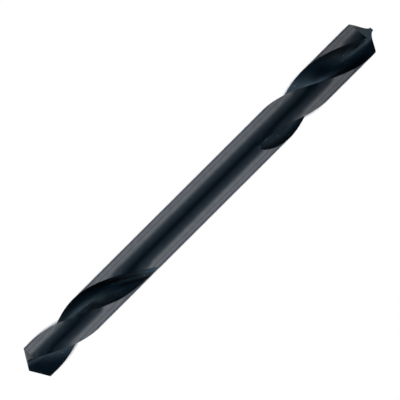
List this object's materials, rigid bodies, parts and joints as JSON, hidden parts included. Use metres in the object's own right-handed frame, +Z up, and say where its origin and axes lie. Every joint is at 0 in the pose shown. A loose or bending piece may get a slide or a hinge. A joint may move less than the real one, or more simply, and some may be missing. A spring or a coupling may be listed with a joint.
{
  "type": "double-ended drill bit",
  "caption": "Double-ended twist drill bit: a plain round body with right-hand helical flutes running out to a conical cutting point on either end.",
  "frame": {"origin": "middle of the plain body, on the bit's axis", "axes": "+X along the axis to one point, whose cutting lips stand along Z; +Z up, +Y across"},
  "size_m": [0.0432, 0.0034, 0.0034],
  "materials": {
    "black_steel": "high speed steel, ground and blackened by steam oxidation, satin blue-black"
  },
  "bodies": {
    "root": {"drill_bit": "black_steel"}
  },
  "joints": []
}
